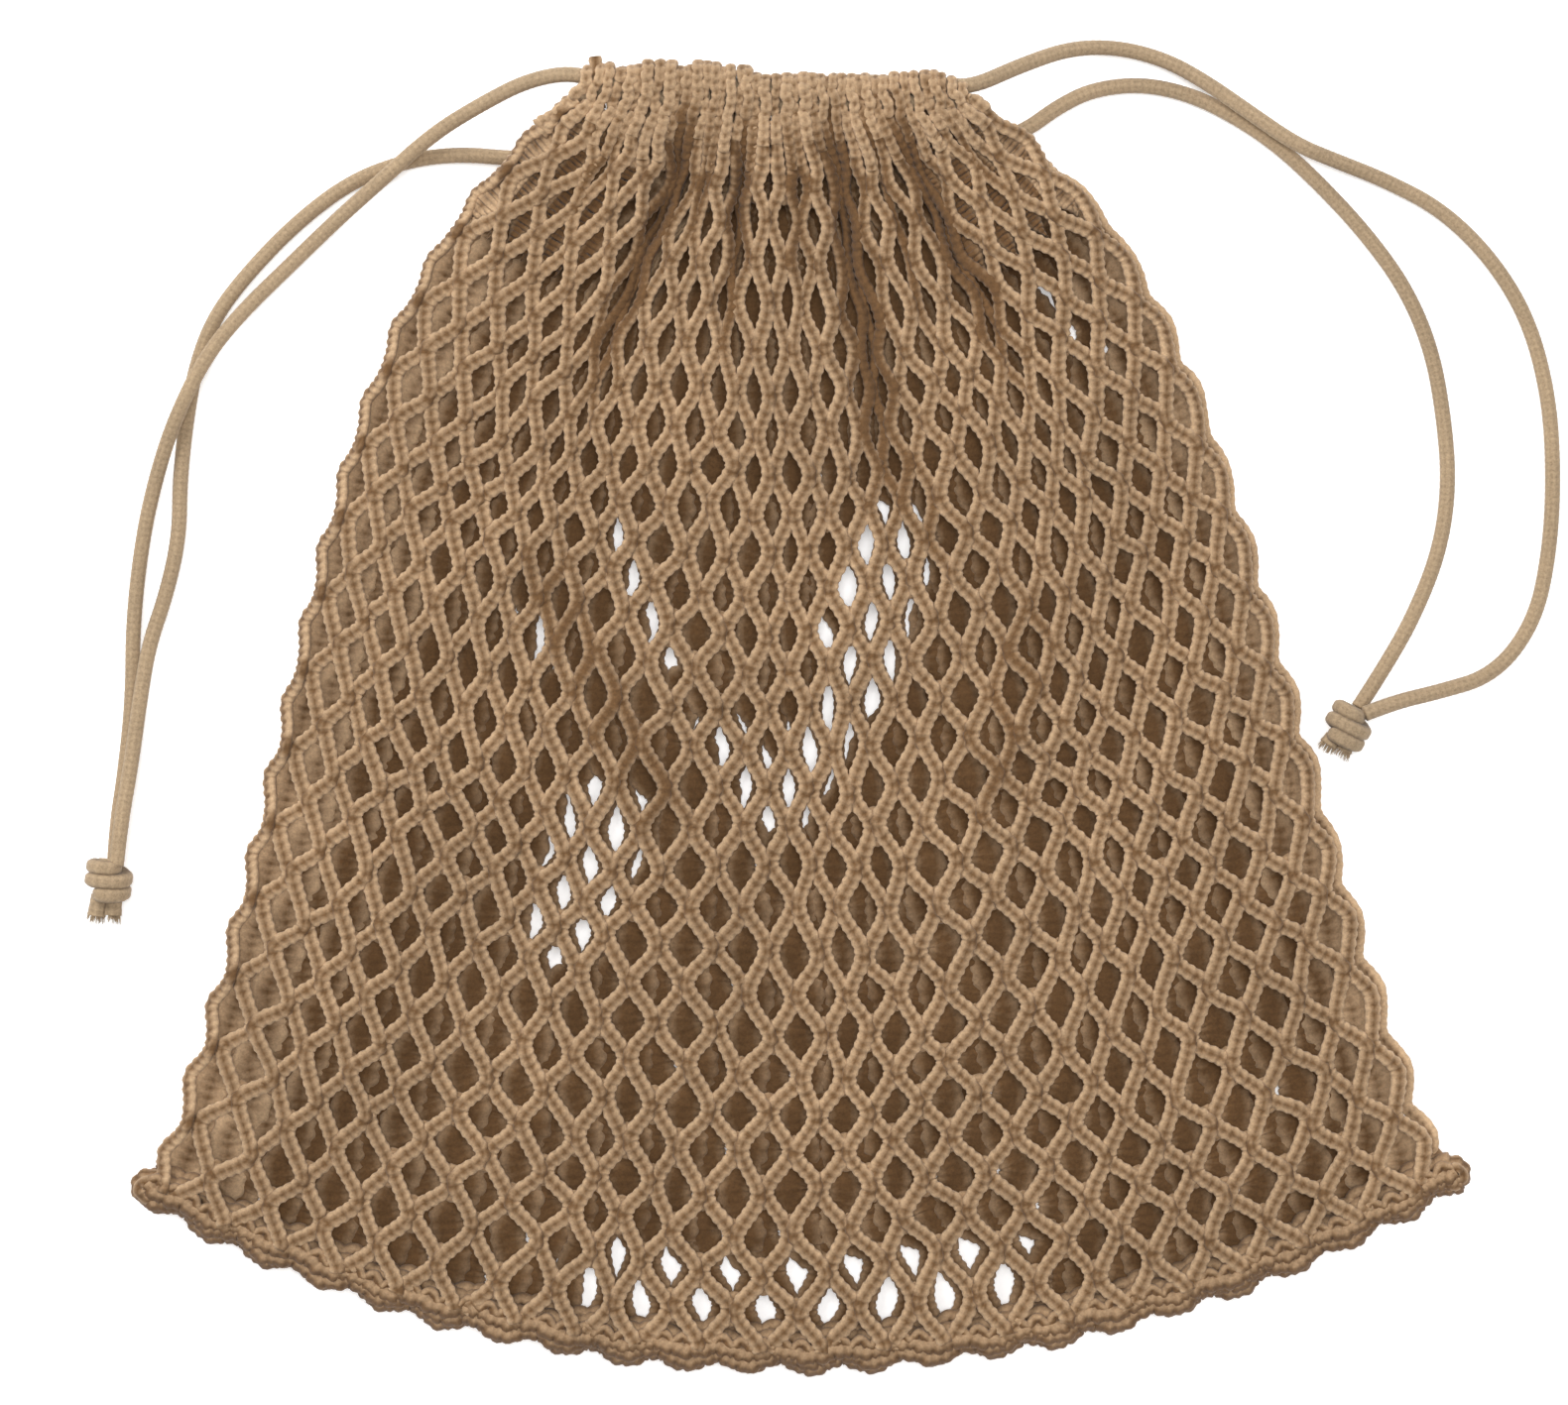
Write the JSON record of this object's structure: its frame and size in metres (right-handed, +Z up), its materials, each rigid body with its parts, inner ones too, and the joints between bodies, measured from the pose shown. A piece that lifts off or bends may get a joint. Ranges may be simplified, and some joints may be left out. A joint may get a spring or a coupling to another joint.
{
  "type": "mesh laundry bag",
  "caption": "Flat drawstring laundry bag of open cotton net, with a gathered mouth, a thick chained base seam and knotted cords that leave it on both sides.",
  "frame": {"origin": "under the middle of the flat bag, without its free cords, on the surface that it lies on", "axes": "+Z up out of the surface, +Y from the base seam to the gathered mouth, +X to the right seen from above with the mouth away from the viewer"},
  "size_m": [0.3382, 0.3038, 0.0171],
  "materials": {
    "net": "tan cotton yarn, chain-knitted open net, matt and slightly fuzzy",
    "seam_yarn": "tan cotton yarn, thick chained edge, matt and slightly fuzzy",
    "cord": "light tan braided cotton cord, smooth and matt"
  },
  "bodies": {
    "bag_back": {"back_net": "net", "bottom_seam": "seam_yarn", "left_seam_end": "seam_yarn", "right_seam_end": "seam_yarn", "left_side_fold": "net", "right_side_fold": "net", "back_mouth_band": "net", "left_cord_turn": "cord", "right_cord_turn": "cord", "left_cord_back_run": "cord", "right_cord_back_run": "cord"},
    "bag_front": {"front_net": "net", "front_mouth_band": "net", "yarn_tail": "seam_yarn", "left_cord_front_run": "cord", "right_cord_front_run": "cord"},
    "left_drawstring": {"left_cord_upper": "cord", "left_cord_lower": "cord", "left_cord_back_feed": "cord", "left_knot": "cord", "left_cord_tails": "cord"},
    "right_drawstring": {"right_cord_upper": "cord", "right_cord_lower": "cord", "right_cord_back_feed": "cord", "right_knot": "cord", "right_cord_tails": "cord"},
    "left_front_feed": {"left_cord_front_feed": "cord"},
    "right_front_feed": {"right_cord_front_feed": "cord"}
  },
  "joints": [
    {"name": "mouth_open", "type": "hinge", "parent": "bag_back", "child": "bag_front", "pos_m": [0, -0.142, 0.0103], "axis": [1, 0, 0], "range_deg": [0, 4.5]},
    {"name": "left_pull", "type": "slide", "parent": "bag_back", "child": "left_drawstring", "axis": [-1, 0, 0], "range_m": [0, 0.02]},
    {"name": "right_pull", "type": "slide", "parent": "bag_back", "child": "right_drawstring", "axis": [1, 0, 0], "range_m": [0, 0.02]},
    {"name": "left_front_pull", "type": "slide", "parent": "bag_front", "child": "left_front_feed", "axis": [-1, 0, 0], "range_m": [0, 0.02]},
    {"name": "right_front_pull", "type": "slide", "parent": "bag_front", "child": "right_front_feed", "axis": [1, 0, 0], "range_m": [0, 0.02]}
  ],
  "couplings": [
    {"joint": "left_front_pull", "follows": "left_pull", "ratio": 1},
    {"joint": "right_front_pull", "follows": "right_pull", "ratio": 1}
  ]
}
